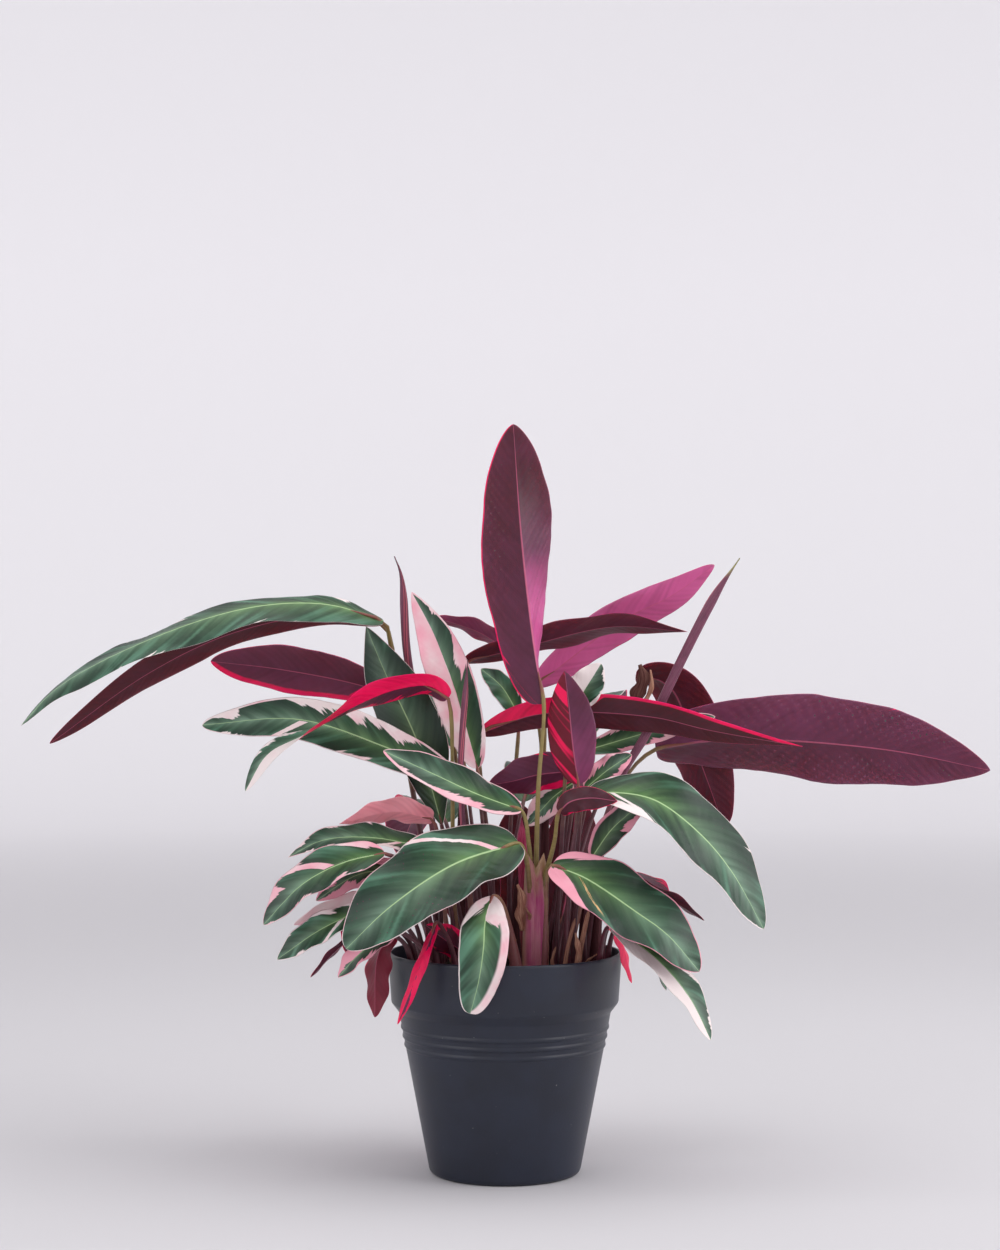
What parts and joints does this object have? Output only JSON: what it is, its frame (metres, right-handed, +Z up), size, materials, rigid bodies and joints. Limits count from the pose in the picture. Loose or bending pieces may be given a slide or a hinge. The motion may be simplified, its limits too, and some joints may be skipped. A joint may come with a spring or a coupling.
{
  "type": "potted stromanthe triostar plant",
  "caption": "Prayer plant with lance-shaped green, cream and pink leaves, purple and crimson below, in a tapered dark plastic nursery pot.",
  "frame": {"origin": "centre of the pot's underside, on the surface that the pot stands on", "axes": "+Z up, +X to the right of the plant seen from its front, +Y towards its back"},
  "size_m": [0.7157, 0.3325, 0.5431],
  "materials": {
    "leaf_green": "waxy satin, green with cream and pink streaks above, purple below",
    "leaf_purple": "satin, dark purple underside with a pink midrib",
    "leaf_crimson": "satin, crimson to mauve underside",
    "leaf_pink": "satin, pink and cream with green streaks",
    "rolled_leaf": "satin, purple with a pale tip",
    "leaf_sheath": "satin, magenta with olive edges",
    "pot_plastic": "satin anthracite, injection moulded",
    "potting_soil": "matt, dark crumbly peat mix"
  },
  "bodies": {
    "root": {"leaf_tall_center": "leaf_purple", "leaf_right_big": "leaf_purple", "leaf_left_big_upper": "leaf_green", "leaf_left_big_lower": "leaf_purple", "leaf_left_mauve": "leaf_crimson", "leaf_left_dark": "leaf_green", "leaf_left_red": "leaf_crimson", "leaf_left_long": "leaf_green", "leaf_left_diagonal": "leaf_green", "leaf_left_pink": "leaf_pink", "leaf_back_purple": "leaf_purple", "leaf_back_mauve": "leaf_crimson", "leaf_center_striped": "leaf_crimson", "leaf_cream_tip": "leaf_pink", "leaf_long_crimson": "leaf_crimson", "leaf_right_hanging": "leaf_purple", "leaf_mid_green": "leaf_green", "leaf_mid_small": "leaf_green", "leaf_front_right_upper": "leaf_green", "leaf_center_dark": "leaf_purple", "leaf_center_variegated": "leaf_pink", "leaf_back_small": "leaf_green", "leaf_back_sliver": "leaf_crimson", "leaf_mid_right_dark": "leaf_green", "leaf_center_cupped": "leaf_purple", "leaf_front_right_mid": "leaf_green", "leaf_right_maroon_tip": "leaf_purple", "leaf_low_right_hanging": "leaf_green", "leaf_low_right_maroon": "leaf_purple", "leaf_low_right_crimson": "leaf_crimson", "leaf_front_left_big": "leaf_green", "leaf_front_center_small": "leaf_green", "leaf_low_left_first": "leaf_green", "leaf_left_salmon": "leaf_pink", "leaf_low_left_second": "leaf_green", "leaf_low_left_third": "leaf_pink", "leaf_low_left_pale": "leaf_pink", "leaf_low_left_fifth": "leaf_green", "leaf_low_left_curl": "leaf_purple", "leaf_low_left_salmon": "leaf_green", "leaf_low_left_hanging": "leaf_purple", "leaf_low_front_crimson": "leaf_crimson", "leaf_low_front_magenta": "leaf_crimson", "leaf_rear_left": "leaf_green", "leaf_rear_center": "leaf_green", "leaf_rear_right": "leaf_green", "leaf_rear_low": "leaf_green", "leaf_rear_low_left": "leaf_green", "leaf_rear_upper_right": "leaf_green", "leaf_rear_upper_left": "leaf_purple", "leaf_inner_left": "leaf_purple", "leaf_inner_center": "leaf_purple", "leaf_inner_right": "leaf_purple", "spear_left": "rolled_leaf", "spear_middle": "rolled_leaf", "spear_right": "rolled_leaf", "spear_young": "rolled_leaf", "sheath_main": "leaf_sheath", "pot": "pot_plastic", "soil": "potting_soil"}
  },
  "joints": []
}
